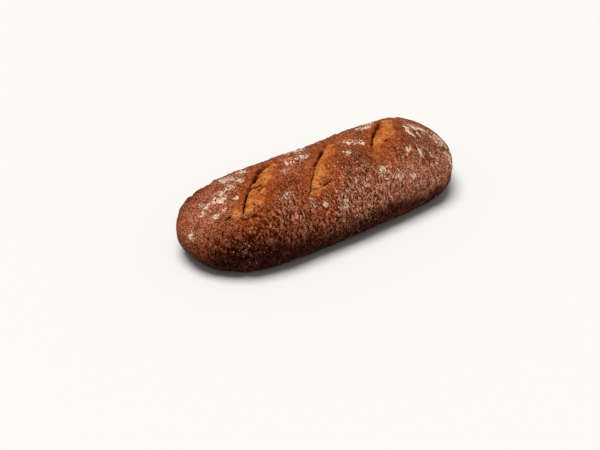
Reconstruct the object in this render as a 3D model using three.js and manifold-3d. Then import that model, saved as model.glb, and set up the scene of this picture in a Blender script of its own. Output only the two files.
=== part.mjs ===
// A long, hand-shaped dark rye loaf, baked free on the hearth with three diagonal slashes across its crown.
// The loaf was baked in one piece, so it is one solid: a crowned body with blunt round ends, a flat bottom
// crust, and three slashes that tore open in the oven, each with a raised lip on one side, a dark crack
// under the lip and a hollow of torn crust beside it.
//
// Millimetres, +Z up. The loaf lies along X and rests on z = 0, with the middle of its box at x = y = 0.

import * as THREE from "three";
import { mergeVertices } from "three/addons/utils/BufferGeometryUtils.js";
import Module from "manifold-3d";

// The whole loaf.
const LENGTH = 300;
const WIDTH = 114.5; // across the widest line, halfway along
const CROWN_HEIGHT = 67.5; // halfway along, before the crown swells between the slashes
const HEIGHT_TAPER = 0.025; // the +X end rose this share higher, and the -X end this share lower
const WIDTH_TAPER = -0.04; // and the +X end spread that much less
const BARREL = 0.04; // the width lost to a slight barrel shape, as a share, over each half of the length
const SAG_BEND = 6.5; // the ends lie about this much further back than the middle

// The round ends: how far from each end the sides, the crown and the underside begin to curve in.
const PLAN_REACH = { near: 81, far: 43 };
const CROWN_REACH = { near: 87, far: 92 };
const UNDERSIDE_REACH = { near: 62, far: 55 };
const END_FULLNESS = 2.1; // the exponent of that curve, where 2 is an ellipse and more is squarer

// The cross-section: the height of the widest line, and how square the curve is above it and below it.
const WAIST = 27;
const CROWN_FULLNESS = 2.2;
const UNDERSIDE_FULLNESS = 2.6;
const SINK = 8; // the round underside runs this far below the oven floor, which flattens it

// Mesh fineness: rings along the loaf, and points round each ring.
const RINGS = 70;
const POINTS_ROUND = 68;

// Each slash: where its middle is in plan, its half length, the angle of its run from +X, and how far the
// torn crust spread from the crack towards +X, measured square to the crack.
const SLASHES = [
  { x: -73, y: 3, half: 42, angle: 43, spread: 19 },
  { x: -7, y: -7, half: 40, angle: 44.5, spread: 17 },
  { x: 74, y: 9, half: 36, angle: 46, spread: 20 },
];
const LIP_RISE = 3.4; // the crust stands this proud along the lip
const LIP_REACH = 13; // and comes down to the crown over about this distance
const SWELL_RISE = 2.8; // the crown swells this much beyond the torn crust
const SWELL_PLACE = 1.7; // how far beyond, in spreads
const HOLLOW_DEPTH = 4.6; // the torn crust lies this deep beside the crack
const CRACK_DEPTH = 8.5;
const CRACK_MOUTH = 2.4; // from the lip to where the torn crust begins
const CRACK_UNDERCUT = 2.2; // the foot of the crack runs this far in under the lip
const SLASH_STEPS = 26;
const CLEAR = 9; // the cutters stand this far above the crown

const wasm = await Module();
wasm.setup();

const power = (base, exponent) => Math.sign(base) * Math.abs(base) ** exponent;

/** How much of a size is left at x as each end curves in: 1 in the middle, 0 at the end. */
function roundedEnd(x, reach) {
  const span = x < 0 ? reach.near : reach.far;
  const entry = THREE.MathUtils.clamp((Math.abs(x) - (LENGTH / 2 - span)) / span, 0, 1);
  return (1 - entry ** END_FULLNESS) ** (1 / END_FULLNESS);
}

/** The loaf's cross-section at x: half width, rise above the widest line, drop below it, sideways bend. */
function section(x) {
  const share = (2 * x) / LENGTH;
  const barrel = 1 - BARREL * share * share;
  const crown = CROWN_HEIGHT * (1 + HEIGHT_TAPER * share);
  return {
    half: (WIDTH / 2) * (1 + WIDTH_TAPER * share) * barrel * roundedEnd(x, PLAN_REACH),
    rise: (crown - WAIST) * roundedEnd(x, CROWN_REACH),
    drop: (WAIST + SINK) * roundedEnd(x, UNDERSIDE_REACH),
    bend: SAG_BEND * (share * share - 0.4),
  };
}

/** How open a slash is at a distance along it from its middle: 1 in the middle, 0 past its ends. */
const openness = (slash, along) => Math.max(0, 1 - (along / slash.half) ** 2) ** 0.6;

/** How far the slashes lift the crown at a plan point: proud lips, and a swell beyond the torn crust. */
function slashRelief(x, y) {
  let relief = 0;
  for (const slash of SLASHES) {
    const angle = THREE.MathUtils.degToRad(slash.angle);
    const dx = x - slash.x;
    const dy = y - slash.y;
    const along = dx * Math.cos(angle) + dy * Math.sin(angle);
    const across = dx * Math.sin(angle) - dy * Math.cos(angle);
    const lip = LIP_RISE * Math.exp(-((across / LIP_REACH) ** 2));
    const swell = SWELL_RISE * Math.exp(-(((across / slash.spread - SWELL_PLACE) / 0.8) ** 2));
    relief += openness(slash, along) * (lip + swell);
  }
  return relief;
}

/** The crown's height over a plan point, with no slash relief. */
function crownOver(x, y) {
  const { half, rise, bend } = section(x);
  const share = Math.min(1, Math.abs(y - bend) / half);
  return WAIST + rise * Math.sqrt(1 - share ** CROWN_FULLNESS);
}

/** A geometry with its shared vertices merged, holding positions only, which is what a solid is made from. */
function weld(geometry) {
  geometry.deleteAttribute("normal");
  geometry.deleteAttribute("uv");
  return mergeVertices(geometry, 1e-4);
}

/** The loaf's body before its bottom is flattened: a sphere, poles at the ends, moved out to the crust. */
function bodyGeometry() {
  const geometry = weld(new THREE.SphereGeometry(1, POINTS_ROUND, RINGS).rotateZ(-Math.PI / 2));
  const position = geometry.getAttribute("position");
  const point = new THREE.Vector3();
  for (let i = 0; i < position.count; i++) {
    point.fromBufferAttribute(position, i);
    const round = Math.hypot(point.y, point.z) || 1;
    const side = point.y / round;
    const up = point.z / round;
    const x = (THREE.MathUtils.clamp(point.x, -1, 1) * LENGTH) / 2;
    const { half, rise, drop, bend } = section(x);
    if (up >= 0) {
      const y = half * power(side, 2 / CROWN_FULLNESS) + bend;
      const relief = slashRelief(x, y);
      position.setXYZ(i, x, y + relief * side * 0.5, WAIST + (rise + relief) * up);
    } else {
      const y = half * power(side, 2 / UNDERSIDE_FULLNESS) + bend;
      position.setXYZ(i, x, y, WAIST - drop * power(-up, 2 / UNDERSIDE_FULLNESS));
    }
  }
  return geometry;
}

/**
 * The outline a slash takes out of the crust, square to its run, as [across, depth below the crown]. It
 * drops under the lip into the crack, climbs to the torn crust and slopes up until that meets the crown.
 */
function slashOutline(slash, share) {
  return [
    [CRACK_UNDERCUT * 0.8, -CLEAR],
    [0, -LIP_RISE * share],
    [-CRACK_UNDERCUT, CRACK_DEPTH * 0.85],
    [-CRACK_UNDERCUT * 0.2, CRACK_DEPTH],
    [CRACK_MOUTH, HOLLOW_DEPTH],
    [slash.spread * 0.45, HOLLOW_DEPTH * 0.55],
    [slash.spread, -LIP_RISE],
    [slash.spread * 1.2, -CLEAR],
  ];
}

/** The cutter for one slash: its outline swept along its run over the crown, closing towards both ends. */
function slashGeometry(slash) {
  const corners = slashOutline(slash, 1).length;
  const geometry = weld(new THREE.CylinderGeometry(1, 1, 1, corners, SLASH_STEPS).rotateZ(-Math.PI / 2));
  const position = geometry.getAttribute("position");
  const angle = THREE.MathUtils.degToRad(slash.angle);
  for (let i = 0; i < position.count; i++) {
    const turn = Math.atan2(position.getZ(i), position.getY(i));
    const onAxis = Math.hypot(position.getY(i), position.getZ(i)) < 0.5;
    const along = position.getX(i) * 2 * slash.half * 0.985;
    const share = openness(slash, along);
    const outline = slashOutline(slash, share);
    const corner = (Math.round((turn * corners) / (2 * Math.PI)) + corners) % corners;
    const [outlineAcross, outlineDepth] = onAxis ? [CRACK_MOUTH, 0] : outline[corner];
    const across = outlineAcross * share;
    const depth = outlineDepth > 0 ? outlineDepth * share : outlineDepth;
    const x = slash.x + along * Math.cos(angle) + across * Math.sin(angle);
    const y = slash.y + along * Math.sin(angle) - across * Math.cos(angle);
    position.setXYZ(i, x, y, crownOver(x, y) - depth);
  }
  return geometry;
}

/** A welded geometry as a manifold-3d solid; one whose faces point inwards is turned the right way. */
function toSolid(geometry) {
  const triVerts = new Uint32Array(geometry.index.array);
  const vertProperties = new Float32Array(geometry.getAttribute("position").array);
  const solid = new wasm.Manifold(new wasm.Mesh({ numProp: 3, vertProperties, triVerts }));
  if (solid.volume() > 0) return solid;
  for (let i = 0; i < triVerts.length; i += 3) {
    [triVerts[i + 1], triVerts[i + 2]] = [triVerts[i + 2], triVerts[i + 1]];
  }
  return new wasm.Manifold(new wasm.Mesh({ numProp: 3, vertProperties, triVerts }));
}

/** A manifold-3d solid as a geometry. */
function toGeometry(solid) {
  const mesh = solid.getMesh();
  return new THREE.BufferGeometry()
    .setAttribute("position", new THREE.BufferAttribute(mesh.vertProperties, 3))
    .setIndex(new THREE.BufferAttribute(mesh.triVerts, 1));
}

/** The finished loaf, with the middle of its box over the origin. */
function loafGeometry() {
  const ovenFloor = weld(new THREE.BoxGeometry(2 * LENGTH, 2 * WIDTH, 4 * SINK).translate(0, 0, -2 * SINK));
  let solid = toSolid(bodyGeometry()).subtract(toSolid(ovenFloor));
  for (const slash of SLASHES) {
    solid = solid.subtract(toSolid(slashGeometry(slash)));
  }
  const geometry = toGeometry(solid);
  geometry.computeBoundingBox();
  const middle = geometry.boundingBox.getCenter(new THREE.Vector3());
  geometry.translate(-middle.x, -middle.y, 0);
  geometry.computeVertexNormals();
  return geometry;
}

const crust = new THREE.MeshStandardMaterial({ color: 0x8a4a30, roughness: 0.62, metalness: 0 });
const loaf = new THREE.Mesh(loafGeometry(), crust);
loaf.name = "loaf";

const part = new THREE.Group();
part.add(loaf);

export default part;
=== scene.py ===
"""A long dark rye loaf, baked free on the hearth, with three diagonal slashes across its crown.

The loaf is one piece of bread, so it is one piece here too: a smooth body, torn open along the slashes,
wrinkled, dusted with flour and given one crust material. Sizes are in millimetres until the mesh is written.
The loaf lies along X, with its near side towards the camera at -Y and its far side at +Y.
"""

import logging
import math
from dataclasses import dataclass, field
from enum import Enum
from typing import Any

import bpy
import numpy as np
from mathutils import Matrix, Vector

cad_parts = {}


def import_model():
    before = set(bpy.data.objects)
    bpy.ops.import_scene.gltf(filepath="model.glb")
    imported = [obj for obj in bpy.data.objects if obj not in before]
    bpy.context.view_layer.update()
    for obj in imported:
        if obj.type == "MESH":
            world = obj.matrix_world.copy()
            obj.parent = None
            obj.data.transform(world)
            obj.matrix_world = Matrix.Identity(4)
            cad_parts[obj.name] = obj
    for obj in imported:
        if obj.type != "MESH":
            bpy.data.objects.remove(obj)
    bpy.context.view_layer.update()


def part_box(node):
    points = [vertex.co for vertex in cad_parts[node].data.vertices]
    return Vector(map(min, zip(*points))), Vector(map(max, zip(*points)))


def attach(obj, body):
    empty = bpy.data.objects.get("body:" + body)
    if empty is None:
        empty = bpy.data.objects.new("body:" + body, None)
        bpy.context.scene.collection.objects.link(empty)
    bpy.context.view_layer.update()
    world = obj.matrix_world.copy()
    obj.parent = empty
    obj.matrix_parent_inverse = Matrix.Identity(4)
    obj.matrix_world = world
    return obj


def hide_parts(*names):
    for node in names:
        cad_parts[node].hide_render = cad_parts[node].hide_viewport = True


log = logging.getLogger("rye_loaf")

MM = 0.001

Tree = bpy.types.NodeTree
Socket = bpy.types.NodeSocket


class Layer(Enum):
    """What each point of the crust carries for its material to read."""

    TORN = "torn"  # bare crust that tore open in the oven, 0 to 1
    WARM = "warm"  # smoother, redder crust that stretched beside a slash, 0 to 1
    CRACK = "crack"  # the deep shade inside cracks and pits, 0 to 1
    DUST_AND_SHEEN = "dust_and_sheen"  # how much of the finest flour clings to the skin, its pink also painted sheen, 0 to 1
    FLOUR = "flour"  # how many flecks of flour lie there, 0 to 1
    FOLDED = "folded"  # how strongly the skin wrinkled as it dried, 0 to 1
    RIDGE = "ridge"  # the wrinkles, 0 in a crevice to 1 on a ridge; they also set the painted shade in crevices and the painted highlight on ridges
    SHADE_AND_BAKE = "shade_and_bake"  # painted shade, darkest low on the sides, with darker baked patches on the crown, 0 to 1
    GRAIN = "grain"  # where the point lies on the unrolled crust, in metres


class Easing(Enum):
    """How a value passes from one range to another."""

    EVEN = "LINEAR"
    SMOOTH = "SMOOTHSTEP"


def linear(colour: str) -> tuple[float, float, float, float]:
    """Turns an sRGB hex colour into the linear colour a shader takes.

    Args:
        colour: The colour as "#rrggbb".

    Returns:
        Red, green, blue and an alpha of 1.
    """
    channels = [int(colour[i : i + 2], 16) / 255 for i in (1, 3, 5)]
    red, green, blue = [c / 12.92 if c <= 0.04045 else ((c + 0.055) / 1.055) ** 2.4 for c in channels]
    return red, green, blue, 1.0


def add_node(
    tree: Tree,
    kind: str,
    links: dict[Any, Socket] | None = None,
    values: dict[Any, Any] | None = None,
    **settings: Any,
) -> bpy.types.Node:
    """Adds one node with its settings, its input values and its links.

    Args:
        tree: The node tree it goes in.
        kind: The node's type, such as "ShaderNodeMix".
        links: An output socket for each linked input, by the input's name or number.
        values: A value for each other input that is set, by the input's name or number.
        settings: The node's own properties.

    Returns:
        The new node.
    """
    node = tree.nodes.new(kind)
    for name, value in settings.items():
        setattr(node, name, value)
    for name, value in (values or {}).items():
        node.inputs[name].default_value = value
    for name, socket in (links or {}).items():
        tree.links.new(socket, node.inputs[name])
    return node


def per_mm(size: float) -> float:
    """A pattern's scale, from the size in millimetres of one of its bumps."""
    return 1 / (size * MM)


def ease(low: float, high: float, value: np.ndarray) -> np.ndarray:
    """A smooth step: 0 below low, 1 above high; with low above high it falls instead."""
    share = np.clip((value - low) / (high - low), 0, 1)
    return share * share * (3 - 2 * share)


def bell(value: np.ndarray) -> np.ndarray:
    """A smooth bump: 1 at 0, falling to nearly nothing 2 away on either side."""
    return np.exp(-(value**2))


@dataclass(frozen=True)
class Dough:
    """Seeded noise in space, which gives the crust its unevenness."""

    seed: int
    cells: int = 256  # the noise repeats after this many cells
    gain: float = 1.7  # brings one layer of noise to about -1 to 1
    layer_apart: float = 31.7  # how far each finer layer is moved, so that their bumps don't line up
    layer_fall: float = 0.55  # how strong each layer is, against the one before
    layer_sum: float = 1.35  # about how far the layers reach together

    def _tables(self) -> tuple[np.ndarray, np.ndarray]:
        """Draws the noise's tables.

        Returns:
            The shuffled order of the cells, and the slope of each cell's corner.
        """
        rng = np.random.default_rng(self.seed)
        slopes = rng.normal(size=(self.cells, 3))
        return rng.permutation(self.cells), slopes / np.linalg.norm(slopes, axis=1)[:, None]

    def wave(self, points: np.ndarray, size: float | tuple[float, float, float]) -> np.ndarray:
        """Smooth noise from about -1 to 1.

        Args:
            points: Points in millimetres, one a row.
            size: The size of one bump, or its size along each axis.

        Returns:
            One value a point.
        """
        order, slopes = self._tables()
        scaled = points / np.asarray(size)
        cell = np.floor(scaled).astype(int)
        inside = scaled - cell
        fade = inside**3 * (inside * (inside * 6 - 15) + 10)
        total = np.zeros(len(points))
        for corner in np.ndindex(2, 2, 2):
            at = cell + corner
            pick = order[at[:, 0] % self.cells]
            pick = order[(pick + at[:, 1]) % self.cells]
            pick = order[(pick + at[:, 2]) % self.cells]
            weight = np.prod(np.where(corner, fade, 1 - fade), axis=1)
            total += weight * np.sum(slopes[pick] * (inside - corner), axis=1)
        return total * self.gain

    def rough(
        self, points: np.ndarray, size: float | tuple[float, float, float], layers: int = 3
    ) -> np.ndarray:
        """Noise with finer bumps on coarser ones, from about -1 to 1.

        Args:
            points: Points in millimetres, one a row.
            size: The size of the coarsest bump, or its size along each axis.
            layers: How many sizes, each half of the one before.

        Returns:
            One value a point.
        """
        total = np.zeros(len(points))
        for n in range(layers):
            layer = self.wave(points + self.layer_apart * n, np.asarray(size) * 0.5**n)
            total += layer * self.layer_fall**n
        return total / self.layer_sum


@dataclass(frozen=True)
class Path:
    """A line across the crown in plan, from the far side of the loaf to the near side."""

    points: tuple[tuple[float, float], ...]
    steps: int = 90  # how many points the line is drawn with
    rounding: int = 24  # how many times its corners are smoothed

    def _line(self) -> np.ndarray:
        """Draws the line in short steps, with its corners rounded off.

        Returns:
            Its points as x and y, one a row.
        """
        rough = np.array(self.points)
        walked = np.concatenate([[0], np.cumsum(np.linalg.norm(np.diff(rough, axis=0), axis=1))])
        even = np.linspace(0, walked[-1], self.steps)
        line = np.stack([np.interp(even, walked, rough[:, n]) for n in (0, 1)], axis=1)
        for _ in range(self.rounding):
            line[1:-1] = (line[:-2] + 2 * line[1:-1] + line[2:]) / 4
        return line

    def shifted(self, distance: float) -> "Path":
        """Moves the line towards +X, square to the way it runs as a whole.

        Args:
            distance: How far it moves.

        Returns:
            The moved line.
        """
        (x0, y0), (x1, y1) = self.points[0], self.points[-1]
        reach = math.hypot(x1 - x0, y1 - y0)
        step = (distance * (y0 - y1) / reach, distance * (x1 - x0) / reach)
        return Path(tuple((x + step[0], y + step[1]) for x, y in self.points))

    def measure(self, plan: np.ndarray) -> tuple[np.ndarray, np.ndarray, np.ndarray]:
        """Measures points in plan against the line.

        Args:
            plan: Points as x and y, one a row.

        Returns:
            How far each lies from the line, more than 0 on the +X side; how far along it, from 0 to 1; and
            the level direction square to the line there, towards +X.
        """
        line = self._line()
        step = np.diff(line, axis=0)
        length = np.sum(step**2, axis=1)
        nearest = np.full(len(plan), np.inf)
        distance, along = np.zeros(len(plan)), np.zeros(len(plan))
        square = np.zeros((len(plan), 3))
        for n, (start, run) in enumerate(zip(line[:-1], step)):
            offset = plan - start
            share = np.clip(offset @ run / length[n], 0, 1)
            away = offset - share[:, None] * run
            gap = np.sum(away**2, axis=1)
            closer = gap < nearest
            nearest[closer] = gap[closer]
            out = np.array([-run[1], run[0], 0]) / math.sqrt(length[n])
            side = offset[closer] @ out[:2]
            distance[closer] = np.sqrt(gap[closer]) * np.where(side < 0, -1, 1)
            along[closer] = (n + share[closer]) / len(step)
            square[closer] = out
        return distance, along, square


@dataclass(frozen=True)
class Crack:
    """A crack under the lip of a slash, sunk into the crust and darkened with painted shade."""

    path: Path
    width: float  # how far from its middle it closes up
    depth: float
    shade: float = 1.0  # how dark its painted shade is: 1 where it opens into the crumb, less where it is the lip's fold
    margin: float = 12.0  # how far round it the crust is looked at


@dataclass(frozen=True)
class Slash:
    """A slash that tore open in the oven: a proud lip, a sunken strip of torn crust, and a swell beyond."""

    run: Path
    spread: float  # how far the sunken strip reaches from the lip
    bare: tuple[float, ...]  # how wide its bare crust is, at even steps from the far end to the near one
    cracks: tuple[Crack, ...]
    lip: float = 1.4  # how proud the crust stands behind the lip
    lip_reach: float = 9.0  # and how far behind it that comes down
    curl: float = 0.8  # how much higher the lip's own edge curls up
    curl_reach: float = 2.2
    lean: float = 1.4  # how far the edge leans out over the crack
    lean_reach: float = 1.6
    hollow: float = 2.6  # how deep the strip lies beside the crack
    swell: float = 2.4  # how far the crown rises beyond the strip
    swell_place: float = 1.7  # how far beyond the lip, in spreads
    swell_reach: float = 0.75  # how broad that rise is, in spreads
    stretch_reach: float = 17.0  # how far past the strip the skin stretched and reddened
    margin: float = 48.0  # how far round the slash the crust is looked at

    def lift(self, away: np.ndarray, share: np.ndarray) -> tuple[np.ndarray, np.ndarray]:
        """How the slash moves the crust.

        Args:
            away: How far points lie from its run, more than 0 on the +X side.
            share: How far along the run they lie, from 0 to 1.

        Returns:
            How far each rises out of the crust, and how far it leans over the crack.
        """
        opened = np.clip(1 - np.abs(2 * share - 1) ** 3.0, 0, 1) ** 0.8
        behind = ease(0.5, -0.5, away)
        lip = self.lip * bell(away / self.lip_reach) + self.curl * bell(away / self.curl_reach)
        inside = np.clip(away / self.spread, 0, None)
        hollow = self.hollow * np.clip(1 - inside, 0, 1) ** 1.2
        swell = self.swell * bell((inside - self.swell_place) / self.swell_reach)
        rise = opened * (behind * lip + (1 - behind) * (swell - hollow))
        return rise, opened * behind * self.lean * np.exp(-np.abs(away) / self.lean_reach)

    def bared(self, away: np.ndarray, share: np.ndarray, blotch: np.ndarray) -> np.ndarray:
        """How bare the torn crust is.

        Args:
            away: How far points lie from its run, more than 0 on the +X side.
            share: How far along the run they lie, from 0 to 1.
            blotch: Noise that breaks up the strip's edge.

        Returns:
            A share from 0 to 1 for each point, less towards the near end.
        """
        width = np.interp(share, np.linspace(0, 1, len(self.bare)), self.bare)
        ends = ease(0, 0.04, share) * ease(1, 0.96, share) * (1 - 0.4 * ease(0.5, 1.0, share))
        return ends * ease(-0.5, 2.5, away) * ease(1.3, 0.55, away / width + 0.4 * blotch)

    def stretched(self, plan: np.ndarray, share: np.ndarray, blotch: np.ndarray) -> np.ndarray:
        """How far the skin round the slash stretched.

        Args:
            plan: Points as x and y, one a row.
            share: How far along the run they lie, from 0 to 1.
            blotch: Noise that breaks up the edge.

        Returns:
            A share from 0 to 1 for each point, less at the near end.
        """
        half = self.spread * 0.5
        past = np.abs(self.run.shifted(half).measure(plan)[0]) - half
        return ease(1.0, 0.1, past / self.stretch_reach + 0.3 * blotch) * (1 - 0.4 * ease(0.75, 1.0, share))


@dataclass(frozen=True)
class Patch:
    """A place on the crust with a soft edge, where flour stayed or the oven left some other mark."""

    at: tuple[float, float, float]
    reach: float
    weight: float = 1.0
    along: float = 1.0  # how much further it reaches round the loaf than along it


@dataclass(frozen=True)
class Wrinkles:
    """The folds and creases of the dried skin."""

    dough: Dough = Dough(21)
    stray: float = 2.0  # how far a wrinkle wanders
    stray_size: float = 11.0  # over about this distance
    fold_size: tuple[float, float, float] = (2.7, 8.0, 8.0)  # along the loaf, and both ways round it
    cross_size: tuple[float, float, float] = (4.4, 6.5, 6.5)  # the folds that run across the others
    large_size: tuple[float, float, float] = (9.0, 10.0, 10.0)  # the creases low on the -X end
    fold_height: float = 0.6
    furrow_width: float = 0.13  # the share of the noise, either side of 0, that a furrow between folds takes
    cross_width: float = 0.12
    furrow_depth: float = 0.6
    crease_width: float = 0.11
    crease_depth: float = 1.3
    crumple_height: float = 1.4  # how far the creased crust heaves between its creases
    torn_height: float = 0.45  # how rough the torn crust is
    ridge_middle: float = 0.55  # the painted shade halfway between crevice and ridge, and how much painted shade or highlight each thing adds or takes
    fold_shade: float = 0.36
    furrow_shade: float = 0.28
    crease_shade: float = 0.45


@dataclass
class LoafForm:
    """The smooth body of the loaf, before it is slashed and wrinkled."""

    length: float = 300.0
    width: float = 114.5
    crown: float = 67.5  # the height of the crown, halfway along
    height_taper: float = 0.025  # how much higher the +X end rose, as a share
    width_taper: float = -0.04  # and how much wider it spread
    barrel: float = 0.04  # the share of the width lost over each half of the length
    sag_bend: float = 6.5  # how much further back the ends lie than the middle
    plan_reach: tuple[float, float] = (81.0, 43.0)  # where the sides curve in, from the -X end and the +X end
    crown_reach: tuple[float, float] = (87.0, 92.0)  # where the crown does
    underside_reach: tuple[float, float] = (62.0, 55.0)  # and where the underside does
    end_fullness: float = 2.1  # 2 would be an ellipse, and more is squarer
    waist: float = 27.0  # the height of the widest line
    crown_fullness: float = 2.2
    underside_fullness: float = 2.6
    sink: float = 8.0  # how far below the floor the round underside would run, had the floor not flattened it
    samples: int = 2001  # how finely its length is measured
    turn_samples: int = 721  # and its outline
    height_steps: tuple[float, ...] = (0.0, 0.01, 4.0, 62.0, 68.0)
    closeness: tuple[float, ...] = (0.34, 0.5, 0.95, 1.05, 1.2)  # how close the points lie at those heights

    def _rounded_end(self, x: np.ndarray, reach: tuple[float, float]) -> np.ndarray:
        """How much of a size is left, as each end curves in.

        Args:
            x: Places along the loaf.
            reach: How far from the -X end and the +X end the curves begin.

        Returns:
            A share from 0 to 1 for each place.
        """
        span = np.where(x < 0, reach[0], reach[1])
        entry = np.clip((np.abs(x) - (self.length / 2 - span)) / span, 0, 1)
        return (1 - entry**self.end_fullness) ** (1 / self.end_fullness)

    def section(self, x: np.ndarray) -> tuple[np.ndarray, np.ndarray, np.ndarray, np.ndarray]:
        """The cross-section at x.

        Args:
            x: Places along the loaf.

        Returns:
            Half width, rise above the widest line, drop below it, and sideways bend.
        """
        share = 2 * x / self.length
        half = self.width / 2 * (1 + self.width_taper * share) * (1 - self.barrel * share**2)
        rise = self.crown * (1 + self.height_taper * share) - self.waist
        drop = self.waist + self.sink
        return (
            half * self._rounded_end(x, self.plan_reach),
            rise * self._rounded_end(x, self.crown_reach),
            drop * self._rounded_end(x, self.underside_reach),
            self.sag_bend * (share**2 - 0.4),
        )

    def place(self, x: np.ndarray, turn: np.ndarray) -> np.ndarray:
        """Points on the body.

        Args:
            x: Their places along the loaf.
            turn: Their angle round it from straight up, towards +Y, in radians.

        Returns:
            One point a row.
        """
        half, rise, drop, bend = self.section(x)
        side, up = np.sin(turn), np.cos(turn)
        fullness = np.where(up >= 0, self.crown_fullness, self.underside_fullness)
        y = half * np.sign(side) * np.abs(side) ** (2 / fullness) + bend
        low = self.waist - drop * np.abs(up) ** (2 / self.underside_fullness)
        z = np.where(up >= 0, self.waist + rise * up, np.maximum(low, 0))
        return np.stack([x, y, z], axis=1)

    def even_stations(self, share: np.ndarray) -> tuple[np.ndarray, np.ndarray]:
        """Places along the loaf that are evenly spaced over its crust.

        Args:
            share: How far over the crust from the -X end, from 0 to 1.

        Returns:
            The place along the loaf, and the distance walked over the crust to reach it.
        """
        table = -np.cos(np.linspace(0, math.pi, self.samples)) * self.length / 2
        half, rise, _, _ = self.section(table)
        radius = (half + rise) / 2
        walked = np.concatenate([[0], np.cumsum(np.hypot(np.diff(table), np.diff(radius)))])
        reached = share * walked[-1]
        return np.interp(reached, walked, table), reached

    def even_turns(self, share: np.ndarray) -> np.ndarray:
        """Angles round the loaf that give close points on the crown and wide ones under the base.

        Args:
            share: How far round from straight up, from -1 to 1.

        Returns:
            The angle from straight up, in radians.
        """
        table = np.linspace(0, math.pi, self.turn_samples)
        outline = self.place(np.zeros(self.turn_samples), table)
        step = np.linalg.norm(np.diff(outline, axis=0), axis=1)
        closeness = np.interp(outline[1:, 2], self.height_steps, self.closeness)
        walked = np.concatenate([[0], np.cumsum(step * closeness)])
        return np.sign(share) * np.interp(np.abs(share) * walked[-1], walked, table)


@dataclass(frozen=True)
class Pattern:
    """A noise pattern in the crust's material."""

    size: float  # the size of one of its bumps
    detail: float = 1.0  # how many finer layers it has
    roughness: float = 0.5  # how strong those are

    def values(self) -> dict[str, float]:
        """The pattern, as a noise node's input values."""
        return {"Scale": per_mm(self.size), "Detail": self.detail, "Roughness": self.roughness}


@dataclass(frozen=True)
class Span:
    """What a value becomes: low where it is at its start, and high where it is at its end."""

    start: float
    end: float
    low: float = 0.0
    high: float = 1.0

    def values(self) -> dict[str, float]:
        """The span, as a map range node's input values."""
        return {"From Min": self.start, "From Max": self.end, "To Min": self.low, "To Max": self.high}


@dataclass(frozen=True)
class Wash:
    """A colour washed over the crust, and how strong it is as some value goes over its span."""

    colour: str
    span: Span = Span(0.0, 1.0)
    easing: Easing = Easing.SMOOTH


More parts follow.
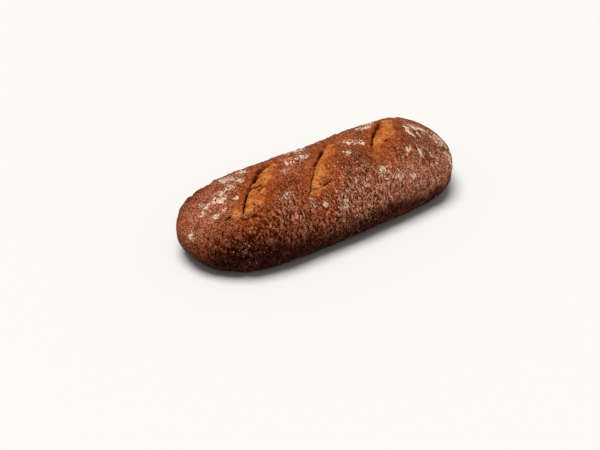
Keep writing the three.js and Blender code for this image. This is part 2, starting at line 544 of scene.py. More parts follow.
@dataclass(frozen=True)
class DarkRyeCrust:
    """Baked rye crust: a dry brown skin, wrinkled as it set, with painted shade low on its sides.

    Dough dries to a skin in the oven, so the crust is a dull brown with a faint gloss. Its colour holds
    painted shade in its crevices and low on its sides, painted highlight on its ridges, darker patches where
    it baked longest, and pink where a little flour clings to it, which is partly painted sheen. Where it
    stretched beside a slash it is smoother and redder, and where it tore it is bare, paler and crumbly.
    """

    brown: str = "#7a3a1c"
    russet: str = "#8b4424"
    # Pinker skin under the finest flour, partly painted sheen.
    dust_and_sheen: str = "#ad6e53"
    warm: str = "#8c421e"
    deep: str = "#56230f"
    # Painted shade low on the sides, and the darker bake of the crown.
    shade_and_baked: str = "#370d02"
    torn: str = "#b65f27"
    torn_light: str = "#cf8546"
    torn_dark: str = "#6e2e0e"
    # Painted shade inside the cracks and pits and under the lip's fold.
    crack: str = "#140501"
    flour: str = "#e8ceb2"
    wander: Pattern = Pattern(10)  # how the wrinkles stray
    wander_by: float = 10.0  # and how far
    stroke: Pattern = Pattern(1.5, 2.0, 0.6)  # the wrinkles
    stroke_stretch: float = 0.32  # a wrinkle's width as a share of its length round the loaf
    grain: Pattern = Pattern(1.3)  # the fine unevenness of the dry skin
    mottle: Pattern = Pattern(9, 3.0)  # blotches where it baked darker or paler
    slow: Pattern = Pattern(40, 2.0)  # the drift from brown to russet
    crumb: Pattern = Pattern(1.7, 3.0, 0.7)  # crumbs of the torn crust
    fleck: Pattern = Pattern(2.2, 3.0, 0.75)  # flecks of flour
    curl: Pattern = Pattern(4.2)  # thin curls of flour
    stroke_span: Span = Span(0.34, 0.66, -0.5, 0.5)  # how far the noise of the wrinkles lifts or sinks them
    grain_span: Span = Span(0.3, 0.7, -0.5, 0.5)  # and the fine grain's noise
    grain_share: Span = Span(0.0, 1.0, 0.7, 0.5)  # how much the fine grain shows, less on stretched skin
    painted_shading_span: Span = Span(-0.25, 1.25, 0.15, 2.05)  # painted shade makes a crevice darker than the skin, and a painted highlight makes a ridge paler
    shade_richness_span: Span = Span(0.2, 1.0, 1.1, 0.88)  # and under its painted shade a crevice is richer in colour, under its painted highlight a ridge duller
    torn_ragged: float = 0.8  # how much blotches break up the torn crust's edge
    torn_span: Span = Span(0.6, 1.1)
    curl_span: Span = Span(0.0, 0.035, 1.0, 0.0)  # a curl runs where its noise is within this of the middle
    curl_share: float = 0.25
    fleck_share: float = 3.2
    ridge_share: float = 0.15  # how much more readily flour stays on ridges
    flour_span: Span = Span(2.36, 2.6, 0.0, 0.9)  # flour covers the crust where all these together reach this
    rough_span: Span = Span(0.0, 0.5, 0.58, 0.95)  # roughness, of bare skin and under flour
    crumb_bump: float = 0.6  # how strongly the crumbs stand out, against the wrinkles
    bump_height: float = 0.9  # how far the finest wrinkles stand out
    ior: float = 1.45
    specular: float = 0.04  # the skin is dry, so it hardly shines

    def _washed(self, tree: Tree, under: Socket | str, washes: tuple[tuple[Socket, Wash], ...]) -> Socket:
        """Lays washes of colour over another colour, one after the other.

        Args:
            tree: The material's nodes.
            under: The colour below them all, as a node gives it or as an sRGB hex colour.
            washes: The value that brings each wash on, with the wash.

        Returns:
            The new colour.
        """
        for value, wash in washes:
            amount = add_node(
                tree,
                "ShaderNodeMapRange",
                {"Value": value},
                wash.span.values(),
                interpolation_type=wash.easing.value,
            ).outputs[0]
            links, values = {0: amount}, {7: linear(wash.colour)}
            if isinstance(under, str):
                values[6] = linear(under)
            else:
                links[6] = under
            under = add_node(tree, "ShaderNodeMix", links, values, data_type="RGBA").outputs[2]
        return under

    def _relief(self, tree: Tree, bent: Socket, grain: Socket, layer: dict[Layer, Socket]) -> Socket:
        """Wrinkles the skin: short strokes, longer round the loaf than along it, and a fine dry grain.

        Args:
            tree: The material's nodes.
            bent: Where each point lies on the unrolled crust, pulled about.
            grain: The fine grain's noise.
            layer: What each point of the crust carries.

        Returns:
            How high the skin stands, about 0 in a crevice to 1 on a ridge.
        """
        stretched = add_node(
            tree,
            "ShaderNodeMapping",
            {"Vector": bent},
            {"Scale": (1, self.stroke_stretch, self.stroke_stretch)},
        ).outputs[0]
        stroke = add_node(
            tree, "ShaderNodeTexNoise", {"Vector": stretched}, self.stroke.values()
        ).outputs["Fac"]
        height = layer[Layer.RIDGE]
        grain_share = add_node(
            tree,
            "ShaderNodeMapRange",
            {"Value": layer[Layer.WARM]},
            self.grain_share.values(),
            interpolation_type=Easing.SMOOTH.value,
        ).outputs[0]
        for noise, span, share in (
            (stroke, self.stroke_span, layer[Layer.FOLDED]),
            (grain, self.grain_span, grain_share),
        ):
            eased = add_node(
                tree,
                "ShaderNodeMapRange",
                {"Value": noise},
                span.values(),
                interpolation_type=Easing.SMOOTH.value,
            ).outputs[0]
            height = add_node(
                tree, "ShaderNodeMath", {0: eased, 1: share, 2: height}, operation="MULTIPLY_ADD"
            ).outputs[0]
        return height

    def _skin(
        self, tree: Tree, slow: Socket, mottle: Socket, height: Socket, layer: dict[Layer, Socket]
    ) -> Socket:
        """Colours the skin.

        Args:
            tree: The material's nodes.
            slow: The slow drift's noise.
            mottle: The blotches' noise.
            height: How high the skin stands.
            layer: What each point of the crust carries.

        Returns:
            Its colour.
        """
        skin = self._washed(
            tree,
            self.brown,
            (
                (slow, Wash(self.russet, Span(0.35, 0.65))),
                (layer[Layer.DUST_AND_SHEEN], Wash(self.dust_and_sheen, easing=Easing.EVEN)),
                (layer[Layer.WARM], Wash(self.warm, Span(0.1, 0.9, high=0.75))),
                (mottle, Wash(self.deep, Span(0.5, 0.3, high=0.5))),
                (layer[Layer.SHADE_AND_BAKE], Wash(self.shade_and_baked, easing=Easing.EVEN)),
            ),
        )
        # Painted shade darkens the skin in its crevices, and a painted highlight lightens it on its ridges.
        painted_shading, shade_richness = (
            add_node(
                tree,
                "ShaderNodeMapRange",
                {"Value": height},
                span.values(),
                interpolation_type=Easing.SMOOTH.value,
            ).outputs[0]
            for span in (self.painted_shading_span, self.shade_richness_span)
        )
        return add_node(
            tree, "ShaderNodeHueSaturation", {"Value": painted_shading, "Saturation": shade_richness, "Color": skin}
        ).outputs[0]

    def _torn_crust(self, tree: Tree, mottle: Socket, crumb: Socket) -> Socket:
        """Colours the torn crust: crumbly and paler, darker where its crumbs' bumps sink and paler where they
        stand.

        Args:
            tree: The material's nodes.
            mottle: The blotches' noise.
            crumb: The crumbs' noise.

        Returns:
            Its colour.
        """
        return self._washed(
            tree,
            self.torn,
            (
                (mottle, Wash(self.torn_light, Span(0.4, 0.65))),
                (crumb, Wash(self.torn_dark, Span(0.54, 0.36, high=0.9))),
                (crumb, Wash(self.torn_light, Span(0.52, 0.7, high=0.7))),
            ),
        )

    def _flour_cover(self, tree: Tree, bent: Socket, height: Socket, floury: Socket) -> Socket:
        """Scatters flour: flecks of a millimetre or two, and thin curls where it gathered in the folds.

        Args:
            tree: The material's nodes.
            bent: Where each point lies on the unrolled crust, pulled about.
            height: How high the skin stands.
            floury: How many flecks lie at each point.

        Returns:
            How thickly flour covers each point.
        """
        fleck, winding = (
            add_node(tree, "ShaderNodeTexNoise", {"Vector": bent}, pattern.values()).outputs["Fac"]
            for pattern in (self.fleck, self.curl)
        )
        level = add_node(tree, "ShaderNodeMath", {0: winding}, {1: 0.5}, operation="SUBTRACT").outputs[0]
        level = add_node(tree, "ShaderNodeMath", {0: level}, operation="ABSOLUTE").outputs[0]
        curl = add_node(
            tree,
            "ShaderNodeMapRange",
            {"Value": level},
            self.curl_span.values(),
            interpolation_type=Easing.SMOOTH.value,
        ).outputs[0]
        lying = floury
        for part, share in ((curl, self.curl_share), (fleck, self.fleck_share), (height, self.ridge_share)):
            lying = add_node(
                tree, "ShaderNodeMath", {0: part, 2: lying}, {1: share}, operation="MULTIPLY_ADD"
            ).outputs[0]
        return add_node(
            tree,
            "ShaderNodeMapRange",
            {"Value": lying},
            self.flour_span.values(),
            interpolation_type=Easing.SMOOTH.value,
        ).outputs[0]

    def material(self) -> bpy.types.Material:
        """Builds the crust's material.

        Returns:
            The material, ready for the loaf.
        """
        made = bpy.data.materials.new("baked rye crust")
        made.use_nodes = True
        tree = made.node_tree
        tree.nodes.clear()
        where = add_node(tree, "ShaderNodeTexCoord").outputs["Object"]
        layer = {
            kind: add_node(tree, "ShaderNodeAttribute", attribute_name=kind.value).outputs[
                "Vector" if kind is Layer.GRAIN else "Fac"
            ]
            for kind in Layer
        }
        grain, mottle, slow, crumb = (
            add_node(tree, "ShaderNodeTexNoise", {"Vector": where}, pattern.values()).outputs["Fac"]
            for pattern in (self.grain, self.mottle, self.slow, self.crumb)
        )
        wander = add_node(
            tree, "ShaderNodeTexNoise", {"Vector": where}, self.wander.values()
        ).outputs["Color"]
        centred = add_node(
            tree, "ShaderNodeVectorMath", {0: wander}, {1: (0.5, 0.5, 0.5)}, operation="SUBTRACT"
        ).outputs[0]
        bent = add_node(
            tree,
            "ShaderNodeVectorMath",
            {0: centred, 2: layer[Layer.GRAIN]},
            {1: (self.wander_by * MM,) * 3},
            operation="MULTIPLY_ADD",
        ).outputs[0]

        height = self._relief(tree, bent, grain, layer)
        skin = self._skin(tree, slow, mottle, height, layer)
        bare = self._torn_crust(tree, mottle, crumb)
        flour = self._flour_cover(tree, bent, height, layer[Layer.FLOUR])
        edge = add_node(
            tree,
            "ShaderNodeMath",
            {0: mottle, 2: layer[Layer.TORN]},
            {1: self.torn_ragged},
            operation="MULTIPLY_ADD",
        ).outputs[0]
        torn, roughness = (
            add_node(
                tree,
                "ShaderNodeMapRange",
                {"Value": value},
                span.values(),
                interpolation_type=Easing.SMOOTH.value,
            ).outputs[0]
            for value, span in ((edge, self.torn_span), (flour, self.rough_span))
        )
        colour = add_node(tree, "ShaderNodeMix", {0: torn, 6: skin, 7: bare}, data_type="RGBA").outputs[2]
        # Painted shade fills the cracks and pits, and flour lies over all.
        colour = self._washed(
            tree,
            colour,
            (
                (layer[Layer.CRACK], Wash(self.crack, Span(0.05, 0.8))),
                (flour, Wash(self.flour, easing=Easing.EVEN)),
            ),
        )

        folds = add_node(
            tree,
            "ShaderNodeBump",
            {"Height": height},
            {"Strength": 1.0, "Distance": self.bump_height * MM},
        ).outputs[0]
        crumbs = add_node(
            tree,
            "ShaderNodeBump",
            {"Height": crumb, "Normal": folds},
            {"Strength": self.crumb_bump, "Distance": self.bump_height * MM},
        ).outputs[0]
        shader = add_node(
            tree,
            "ShaderNodeBsdfPrincipled",
            {"Base Color": colour, "Roughness": roughness, "Normal": crumbs},
            {"IOR": self.ior, "Specular IOR Level": self.specular},
        )
        add_node(tree, "ShaderNodeOutputMaterial", {"Surface": shader.outputs[0]})
        return made


@dataclass
class RyeLoaf:
    """The loaf: one baked piece, torn along three slashes."""

    form: LoafForm = field(default_factory=LoafForm)
    wrinkles: Wrinkles = field(default_factory=Wrinkles)
    finish: DarkRyeCrust = field(default_factory=DarkRyeCrust)
    rings: int = 388
    points_round: int = 256
    unrolled_radius: float = 46.0  # how wide the crust unrolls, round a full section
    unrolled_section: float = 80.0  # the half width and rise of such a section together
    torn_above: float = 28.0  # slashes, cracks and pits open only above this height
    still_low: float = 0.2  # the crust isn't wrinkled below this height, so that the base stays flat
    still_high: float = 14.0  # and it is fully wrinkled above this one
    pit_reach: float = 1.7
    pit_depth: float = 1.6
    # How dark the painted shade in a pit is.
    pit_shade: float = 0.65
    ragged: Dough = Dough(3)  # pulls the edges of the slashes about
    ragged_crack: Dough = Dough(4)  # makes the cracks uneven
    # The noise, size and height of the broad lumps, and the noise and size of the small ones.
    broad_lumps: tuple[tuple[Dough, float, float], ...] = ((Dough(11), 34.0, 0.9), (Dough(12), 16.0, 0.7))
    small_lumps: tuple[Dough, float] = (Dough(13), 7.0)
    crumbs: Dough = Dough(22)  # roughens the torn crust
    patchy: Dough = Dough(31)  # breaks up the flour and the other patches
    oven: Dough = Dough(41)  # makes the painted shade low on the sides uneven
    # The slashes, from the -X end to the +X end, in plan.
    slashes: tuple[Slash, ...] = (
        Slash(
            Path(((-36, 27), (-48, 26), (-55, 22), (-64, 14), (-76, 3), (-89, -10), (-103, -25))),
            spread=18,
            bare=(11, 15, 16, 16, 14, 11, 7),
            cracks=(
                Crack(Path(((-38, 26), (-48, 25), (-55, 22), (-62, 15), (-70, 8))), 1.8, 4.5, 0.5),
                Crack(Path(((-64, 13), (-68, 9), (-73, 5))), 1.5, 6),
                Crack(Path(((-66, -4), (-72, -3), (-77, -1), (-82, -3), (-86, -8))), 1.2, 6),
                Crack(Path(((-82, -3), (-90, -11), (-97, -19), (-103, -26))), 0.8, 4),
                Crack(Path(((-64, -7), (-68, -7), (-74, -8))), 0.8, 2.5),
                Crack(Path(((-98, -25), (-97, -30), (-91, -33), (-85, -31), (-79, -28))), 1.0, 2.6, 0.8),
                Crack(Path(((-110, -22), (-107, -27), (-98, -32))), 0.8, 1.6, 0.6),
            ),
        ),
        Slash(
            Path(((27, 22), (19, 19), (10, 10), (1, 3), (-9, -4), (-15, -13), (-25, -23), (-36, -35))),
            spread=17,
            lip=1.0,
            curl=0.3,
            hollow=1.8,
            bare=(11, 12, 12, 12.5, 13.5, 13, 8),
            cracks=(
                Crack(Path(((23, 21), (16, 16), (8, 8), (1, 3))), 1.2, 3.2, 0.5),
                Crack(Path(((9, 9), (1, 3), (-7, -3), (-12, -8), (-16, -15))), 0.9, 6),
                Crack(Path(((-15, -13), (-22, -20), (-30, -29), (-37, -36))), 0.7, 4),
                Crack(Path(((-30, -31), (-21, -33), (-11, -31), (-2, -28))), 1.0, 2.0, 0.7),
            ),
        ),
        Slash(
            Path(((99, 35), (83, 20), (71, 9), (64, 3), (57, -6), (50, -16))),
            spread=20,
            bare=(12, 15, 17, 16, 14, 8),
            cracks=(
                Crack(Path(((97, 33), (88, 24), (79, 16), (71, 9))), 2.4, 4.0, 0.5),
                Crack(Path(((74, 12), (64, 3), (58, -5), (51, -15))), 0.9, 5),
                Crack(Path(((70, -18), (74, -21), (71, -28))), 1.2, 3.5),
                Crack(Path(((77, -8), (73, -9), (70, -8))), 0.9, 2.0),
            ),
        ),
    )
    # A short crack beyond the slashes.
    splits: tuple[Crack, ...] = (Crack(Path(((-120, -18), (-115, -20), (-111, -21))), 0.8, 1.5),)
    # Where flecks of flour stayed on the crust.
    flour: tuple[Patch, ...] = (
        Patch((-107, 6, 61), 15, 0.95),
        Patch((-121, 9, 57), 9, 0.85, 1.5),
        Patch((-96, 12, 64), 12, 0.85),
        Patch((-85, 30, 61), 14, 0.95),
        Patch((-68, 31, 62), 10, 0.92),
        Patch((-80, 14, 66), 9, 0.9),
        Patch((-112, -8, 60), 9, 0.75),
        Patch((-131, 4, 54), 8, 0.8),
        Patch((-122, -10, 55), 8, 0.8),
        Patch((-97, -6, 64), 3.4, 1.5),
        Patch((-146, -4, 38), 6, 1.2),
        Patch((-134, -26, 32), 5, 0.8),
        Patch((-110, -42, 34), 9, 0.65),
        Patch((-5, 33, 61), 17, 0.93),
        Patch((-22, 15, 66), 14, 0.85),
        Patch((-9, 12, 66), 9, 0.8),
        Patch((-38, 2, 67), 11, 0.75),
        Patch((38, 10, 67), 12, 0.85),
        Patch((48, 2, 68), 9, 0.95),
        Patch((27, -6, 68), 8, 0.8, 1.4),
        Patch((71, 25, 64), 14, 1.05),
        Patch((82, 36, 58), 13, 0.92),
        Patch((101, -9, 63), 3.0, 1.5, 4.0),
        Patch((108, -14, 61), 2.2, 1.3, 3.0),
        Patch((111, 2, 61), 2.6, 1.4, 4.0),
        Patch((118, -3, 58), 2.4, 1.3, 4.0),
        Patch((124, -10, 55), 2.6, 1.4, 3.5),
        Patch((116, 2, 59), 18, 0.72, 1.5),
        Patch((104, 2, 63), 2.2, 1.4, 3.6),
        Patch((126, -22, 50), 2.2, 1.4, 3.4),
        Patch((121, -30, 48), 2.0, 1.3, 3.0),
        Patch((95, -33, 57), 2.8, 1.5, 3.4),
        Patch((84, -28, 61), 5, 1.15),
        Patch((107, -39, 50), 2.6, 1.4, 3.4),
        Patch((130, -18, 50), 14, 0.92, 1.8),
        Patch((130, -38, 38), 10, 0.92, 1.5),
        Patch((48, -40, 57), 14, 0.72),
        Patch((62, -46, 50), 12, 0.7),
        Patch((75, -50, 43), 9, 0.75, 1.4),
        Patch((-5, -48, 50), 14, 0.74),
        Patch((20, -42, 56), 14, 0.66),
        Patch((-24, -46, 51), 3.6, 1.5),
        Patch((-34, -42, 55), 12, 0.62),
        Patch((-56, -31, 60), 12, 0.7),
        Patch((5, -50, 50), 75, 0.33),
        Patch((-105, -44, 42), 45, 0.24),
        Patch((95, -45, 48), 55, 0.34),
    )
    # Where the crust is partly bare round the slashes' near ends.
    scuffs: tuple[Patch, ...] = (
        Patch((-86, -25, 61), 13, 0.62),
        Patch((-104, -21, 59), 10, 0.6),
        Patch((-26, -32, 61), 12, 0.55),
        Patch((51, -22, 65), 9, 0.55),
    )
    # Where the crown baked darker.
    baked: tuple[Patch, ...] = (
        Patch((26, -16, 66), 26, 0.3),
        Patch((108, -14, 60), 42, 0.3),
        Patch((94, 4, 64), 14, 0.5),
    )
    # Small holes in the torn crust, in plan.
    pits: tuple[tuple[float, float], ...] = (
        (-74, -8), (-69, -7), (-87, -21), (-85, -26), (-91, -27), (-99, -21),
        (-95, -30), (-12, -15), (-10, -25), (-18, -29), (69, -8), (73, -19),
    )
    # Where the finest flour clings to the skin; its pink is also painted sheen, and painted light on the near
    # side.
    dust: tuple[Patch, ...] = (
        Patch((-128, 0, 50), 48, 0.42),
        Patch((-75, 30, 60), 40, 0.5),
        Patch((105, -52, 30), 56, 1.0),
        Patch((60, -56, 44), 52, 1.0),
        Patch((10, -56, 44), 44, 0.9),
        Patch((-32, -52, 46), 34, 0.45),
        Patch((-60, -44, 54), 30, 0.35),
        Patch((120, 0, 55), 40, 0.1),
        Patch((20, 50, 45), 90, 0.4),
    )

    def build(self) -> bpy.types.Object:
        """Makes the loaf, replaces its frame node and dresses it.

        Returns:
            The finished loaf.
        """
        piece = self._lay_out()
        mesh = piece.data
        flat = np.empty(len(mesh.vertices) * 3)
        mesh.vertices.foreach_get("co", flat)
        unit = flat.reshape(-1, 3)

        # Each point's place along the loaf and its turn round it, spaced evenly over the crust.
        along = 1 - np.arccos(np.clip(unit[:, 0], -1, 1)) / math.pi
        x, walked = self.form.even_stations(along)
        turn = self.form.even_turns(np.arctan2(unit[:, 1], unit[:, 2]) / math.pi)
        body = self.form.place(x, turn)
        low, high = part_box("loaf")
        body[:, 1] += (low[1] + high[1]) / 2 / MM - (body[:, 1].min() + body[:, 1].max()) / 2
        half, rise, _, _ = self.form.section(x)
        radius = self.unrolled_radius * np.minimum(1, (half + rise) / self.unrolled_section)
        grain = np.stack([walked, radius * np.sin(turn), radius * np.cos(turn)], axis=1)

        self._write(mesh, body)
        normal = self._normals(mesh)
        move, torn, warm, crack = self._tear(body, normal)
        shaped = body + move + normal * self._lumps(body, turn)[:, None]
        folded, ridge, height = self._wrinkle(body, grain, turn, torn, warm)
        shade_and_bake = self._shade_and_bake(body, torn)
        clear = ease(self.still_low, self.still_high, body[:, 2])
        shaped += normal * (height * clear)[:, None]
        shaped[:, 2] = np.where(body[:, 2] < 0.05, 0, np.maximum(shaped[:, 2], 0))
        self._write(mesh, shaped)

        for layer, value in (
            (Layer.TORN, torn),
            (Layer.WARM, warm),
            (Layer.CRACK, crack),
            (Layer.DUST_AND_SHEEN, self._cover(body, self.dust) * (1 - warm) * (1 - shade_and_bake)),
            (Layer.FLOUR, self._cover(body, self.flour) * (1 - torn) * (1 - crack)),
            (Layer.FOLDED, folded),
            (Layer.RIDGE, ridge),
            (Layer.SHADE_AND_BAKE, shade_and_bake),
        ):
            mesh.attributes.new(layer.value, "FLOAT", "POINT").data.foreach_set(
                "value", value.astype(np.float32)
            )
        mesh.attributes.new(Layer.GRAIN.value, "FLOAT_VECTOR", "POINT").data.foreach_set(
            "vector", (grain * MM).astype(np.float32).ravel()
        )
        bpy.ops.object.shade_smooth()
        piece.data.materials.append(self.finish.material())
        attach(piece, "root")
        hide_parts("loaf")
        return piece

    def _lay_out(self) -> bpy.types.Object:
        """Adds the ball that becomes the loaf, its poles at the two ends.

        Returns:
            The ball.
        """
        bpy.ops.object.select_all(action="DESELECT")
        bpy.ops.mesh.primitive_uv_sphere_add(
            segments=self.points_round, ring_count=self.rings, radius=1, rotation=(0, math.pi / 2, 0)
        )
        bpy.ops.object.transform_apply(location=True, rotation=True, scale=True)
        piece = bpy.context.active_object
        piece.name = piece.data.name = "loaf_crust"
        return piece

    def _write(self, mesh: bpy.types.Mesh, points: np.ndarray) -> None:
        """Moves the mesh's points, given in millimetres."""
        mesh.vertices.foreach_set("co", (points * MM).ravel())
        mesh.update()

    def _normals(self, mesh: bpy.types.Mesh) -> np.ndarray:
        """Reads the direction out of the crust at each point.

        Args:
            mesh: The loaf's mesh.

        Returns:
            One direction a row.
        """
        flat = np.empty(len(mesh.vertices) * 3, dtype=np.float32)
        mesh.vertex_normals.foreach_get("vector", flat)
        return flat.reshape(-1, 3).astype(float)

    def _tear(
        self, body: np.ndarray, normal: np.ndarray
    ) -> tuple[np.ndarray, np.ndarray, np.ndarray, np.ndarray]:
        """Opens the slashes, cracks and pits.

        Args:
            body: The smooth body's points.
            normal: The direction out of the crust at each.

        Returns:
            How far each point moves, how torn the crust is there, how far it stretched, and how deep in a
            crack it lies.
        """
        move = np.zeros_like(body)
        torn, warm, crack = np.zeros(len(body)), np.zeros(len(body)), np.zeros(len(body))
        shift = 1.0 * self.ragged.wave(body, 9) + 0.8 * self.ragged.wave(body, 3.6)
        blotch = self.ragged.rough(body, 9)
        for slash in self.slashes:
            near = self._near(body, slash.run, slash.margin)
            plan = body[near, :2]
            away, share, square = slash.run.measure(plan)
            away = away + shift[near]
            rise, lean = slash.lift(away, share)
            move[near] += normal[near] * rise[:, None] + square * lean[:, None]
            torn[near] = np.maximum(torn[near], slash.bared(away, share, blotch[near]))
            warm[near] = np.maximum(warm[near], slash.stretched(plan, share, blotch[near]))
            for split in slash.cracks:
                self._split(body, normal, split, shift, move, crack)
        for split in self.splits:
            self._split(body, normal, split, shift, move, crack)
        torn = np.maximum(torn, self._cover(body, self.scuffs))
        for at in self.pits:
            gap = np.hypot(body[:, 0] - at[0], body[:, 1] - at[1]) + 0.5 * shift
            pit = ease(self.pit_reach, 0.3, gap) * (body[:, 2] > self.torn_above)
            # A pit is sunk in and given painted shade.
            move -= normal * (self.pit_depth * pit)[:, None]
            crack = np.maximum(crack, self.pit_shade * pit)
        return move, torn, warm, crack

    def _near(self, body: np.ndarray, path: Path, margin: float) -> np.ndarray:
        """Finds the points on the crown that lie near a path.

        Args:
            body: The smooth body's points.
            path: The path.
            margin: How far past the path's box they may lie.

        Returns:
            Their numbers.
        """
        line = np.array(path.points)
        inside = np.all((body[:, :2] > line.min(0) - margin) & (body[:, :2] < line.max(0) + margin), axis=1)
        return np.flatnonzero(inside & (body[:, 2] > self.torn_above))

    def _split(
        self,
        body: np.ndarray,
        normal: np.ndarray,
        split: Crack,
        shift: np.ndarray,
        move: np.ndarray,
        crack: np.ndarray,
    ) -> None:
        """Sinks one crack into the crust.

        Args:
            body: The smooth body's points.
            normal: The direction out of the crust at each.
            split: The crack.
            shift: How far each point's distance is pulled about, which makes the crack ragged.
            move: How far each point moves, added to here.
            crack: How deep in a crack each point lies, added to here.
        """
        near = self._near(body, split.path, split.margin)
        gap, run, across = split.path.measure(body[near, :2])
        gap = gap + 0.8 * shift[near]
        taper = np.clip(1 - np.abs(2 * run - 1) ** 4, 0, 1)
        uneven = np.clip(0.9 + 0.9 * self.ragged_crack.wave(body[near], 5), 0.3, 1.3)
        cut = taper * uneven * bell((gap - 0.6) / split.width)
        move[near] -= normal[near] * (cut * split.depth)[:, None] + across * (cut * 1.2)[:, None]
        # The crack's depth sets how much painted shade it gets.
        crack[near] = np.maximum(crack[near], split.shade * np.clip(cut * 1.6 - 0.3, 0, 1))

    def _lumps(self, body: np.ndarray, turn: np.ndarray) -> np.ndarray:
        """How far the crust stands proud or sinks in lumps.

        Args:
            body: The smooth body's points.
            turn: Their angle from straight up.

        Returns:
            A height for each point, less where the crust is smooth or near the floor.
        """
        side = ease(0.3, 0.9, np.abs(turn))
        broad = sum(height * dough.wave(body, size) for dough, size, height in self.broad_lumps)
        calm = (1 - 0.7 * self._smooth(body)) * ease(-12, 18, body[:, 2])
        dough, size = self.small_lumps
        return broad + (0.35 + 0.45 * side) * calm * dough.wave(body, size)

    def _smooth(self, body: np.ndarray) -> np.ndarray:
        """How smooth the crust stayed at each point: most over the -X end, above its low side, which is
        painted dark with shade.
        """
        return ease(-90, -120, body[:, 0]) * np.maximum(ease(-30, -8, body[:, 1]), ease(38, 52, body[:, 2]))

    def _wrinkle(
        self,
        body: np.ndarray,
        grain: np.ndarray,
        turn: np.ndarray,
        torn: np.ndarray,
        warm: np.ndarray,
    ) -> tuple[np.ndarray, np.ndarray, np.ndarray]:
        """Wrinkles the crust, most on its sides.

        Args:
            body: The smooth body's points.
            grain: The same points on the unrolled crust.
            turn: Their angle from straight up.
            torn: How torn the crust is at each.
            warm: How far it stretched.

        Returns:
            How wrinkled each point is, the wrinkles from 0 in a crevice to 1 on a ridge, and their height
            in millimetres.
        """
        kind = self.wrinkles
        wave = kind.dough.wave
        bent = grain + kind.stray * np.stack(
            [wave(body + 10 * n, kind.stray_size) for n in range(3)], axis=1
        )
        fold = wave(bent, kind.fold_size)
        cross = wave(bent + 50, kind.cross_size)
        furrow = np.maximum(bell(fold / kind.furrow_width), 0.8 * bell(cross / kind.cross_width))
        # The wrinkles are strongest on the sides, and weaker on stretched, torn or smooth crust and at +X.
        side = ease(0.25, 0.85, np.abs(turn)) * ease(-150, -115, body[:, 0])
        strength = (0.5 + 0.5 * side) * (1 - 0.45 * warm) * (1 - torn)
        strength *= (1 - 0.4 * ease(10, 80, body[:, 0])) * (1 - 0.6 * self._smooth(body))
        # Round the -X end, low on the sides, the crust also crumpled into larger folds.
        crumpled = ease(-55, -95, body[:, 0]) * ease(-145, -125, body[:, 0]) * ease(0.5, 1.0, np.abs(turn))
        large = wave(bent - 70, kind.large_size)
        crease = bell(large / kind.crease_width) * crumpled
        # How much painted shade falls in each point's furrows and creases, and how much painted highlight on
        # its folds.
        shade = strength * (kind.fold_shade * fold - kind.furrow_shade * furrow) - kind.crease_shade * crease
        ridge = np.clip(kind.ridge_middle + shade, 0, 1)
        height = strength * (kind.fold_height * fold - kind.furrow_depth * furrow)
        height = height - kind.crease_depth * crease + kind.crumple_height * crumpled * large
        return strength, ridge, height + kind.torn_height * self.crumbs.rough(body, 3.0) * torn

    def _cover(self, body: np.ndarray, patches: tuple[Patch, ...]) -> np.ndarray:
        """How thickly some patches cover each point.

        Args:
            body: The smooth body's points.
            patches: The patches, which noise breaks up.

        Returns:
            A share from 0 to 1 for each point.
        """
        cover = np.zeros(len(body))
        for patch in patches:
            offset = body - np.array(patch.at)
            offset[:, 1:] /= patch.along
            near = 1 - np.linalg.norm(offset, axis=1) / patch.reach
            cover = np.maximum(cover, patch.weight * np.clip(near * 1.4, 0, 1) ** 0.8)
        return np.clip(cover * (0.85 + 0.7 * self.patchy.rough(body, 8)), 0, 1)

    def _shade_and_bake(self, body: np.ndarray, torn: np.ndarray) -> np.ndarray:
        """How much painted shade darkens the crust, most low on the sides and higher up them at the -X end,
        with darker baked patches on the crown.

        Args:
            body: The smooth body's points.
            torn: How torn the crust is at each.

        Returns:
            A share from 0 to 1 for each point.
        """
        x, z = body[:, 0], body[:, 2]
        # The heights where the painted shade begins and where it is full change from the -X end to the +X
        # end.
        middle, far = ease(-20, 20, x), ease(50, 90, x)
        start, end = 42 - 3 * middle - 7 * far, 8 + 15 * middle - 8 * far
        low = ease(start, end, z - 18 * ease(0, -100, x) * ease(-150, -120, x))
        patchy = 0.5 + 0.5 * self.oven.rough(body, 22)
        return np.clip(low * (0.75 + 0.4 * patchy) + self._cover(body, self.baked), 0, 1) * (1 - torn)


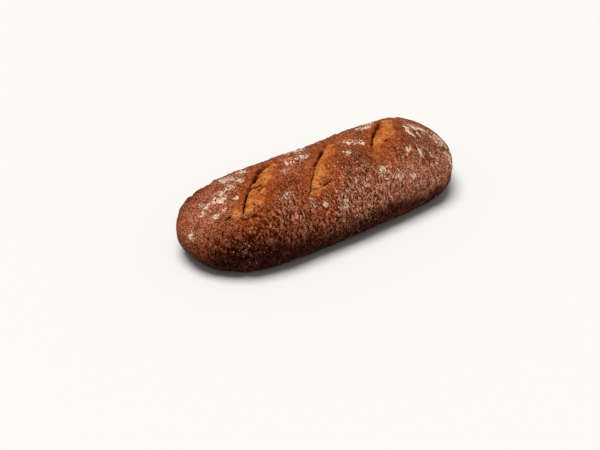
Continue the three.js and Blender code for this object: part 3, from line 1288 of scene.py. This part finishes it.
@dataclass
class Studio:
    """A pale floor, wide soft light from overhead, and the camera. Its sizes are in metres."""

    floor_size: float = 60.0
    floor_colour: str = "#dcdad6"
    floor_roughness: float = 0.9
    sky_colour: str = "#ffffff"
    sky: float = 0.3  # how bright the light from all round is
    light: float = 3.4  # how bright the light from overhead is
    light_spread: float = 35.0  # how wide it looks from the loaf, in degrees
    light_from: tuple[float, float, float] = (-0.15, 0.05, 1.0)
    lens: float = 102.0  # in millimetres, as is the sensor
    sensor: float = 36.0
    nearest: float = 0.05  # the camera sees nothing closer than this
    furthest: float = 100.0  # or further than this
    stand: tuple[float, float, float] = (-0.7669, -1.1093, 0.9696)
    heading: float = 33.88  # which way the camera looks, in degrees from +Y towards +X
    height_angle: float = 36.0  # and how far down, in degrees

    def build(self) -> None:
        """Makes the floor, the light and the camera."""
        self._floor()
        self._sun()
        world = bpy.data.worlds.new("studio")
        bpy.context.scene.world = world
        world.use_nodes = True
        background = world.node_tree.nodes["Background"]
        background.inputs["Color"].default_value = linear(self.sky_colour)
        background.inputs["Strength"].default_value = self.sky
        bpy.context.scene.view_settings.view_transform = "Standard"
        self._camera()

    def _floor(self) -> None:
        """Adds the floor."""
        bpy.ops.object.select_all(action="DESELECT")
        bpy.ops.mesh.primitive_plane_add(size=self.floor_size, location=(0, 0, 0))
        floor = bpy.context.active_object
        floor.name = "floor"
        made = bpy.data.materials.new("matt white floor")
        made.use_nodes = True
        shader = made.node_tree.nodes["Principled BSDF"]
        shader.inputs["Base Color"].default_value = linear(self.floor_colour)
        shader.inputs["Roughness"].default_value = self.floor_roughness
        floor.data.materials.append(made)

    def _sun(self) -> None:
        """Adds one wide, even light, which stands for a large sheet of diffused light overhead."""
        lamp = bpy.data.lights.new("overhead", "SUN")
        lamp.energy, lamp.angle = self.light, math.radians(self.light_spread)
        holder = bpy.data.objects.new("overhead", lamp)
        bpy.context.collection.objects.link(holder)
        holder.rotation_euler = Vector(self.light_from).to_track_quat("Z", "Y").to_euler()

    def _camera(self) -> None:
        """Adds the camera."""
        turn, tip = math.radians(self.heading), math.radians(self.height_angle)
        right = (math.cos(turn), -math.sin(turn), 0)
        up = (math.sin(turn) * math.sin(tip), math.cos(turn) * math.sin(tip), math.cos(tip))
        back = (-math.sin(turn) * math.cos(tip), -math.cos(turn) * math.cos(tip), math.sin(tip))
        camera = bpy.data.cameras.new("camera")
        camera.lens, camera.sensor_width = self.lens, self.sensor
        camera.clip_start, camera.clip_end = self.nearest, self.furthest
        holder = bpy.data.objects.new("camera", camera)
        bpy.context.collection.objects.link(holder)
        holder.location = self.stand
        holder.rotation_euler = Matrix((right, up, back)).transposed().to_euler()
        bpy.context.scene.camera = holder


def main() -> None:
    """Builds the loaf and its studio."""
    logging.basicConfig(level=logging.INFO, format="%(name)s: %(message)s")
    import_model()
    piece = RyeLoaf().build()
    log.info("%s: %d faces", piece.name, len(piece.data.polygons))
    Studio().build()
    log.info("studio")


if __name__ == "__main__":
    main()
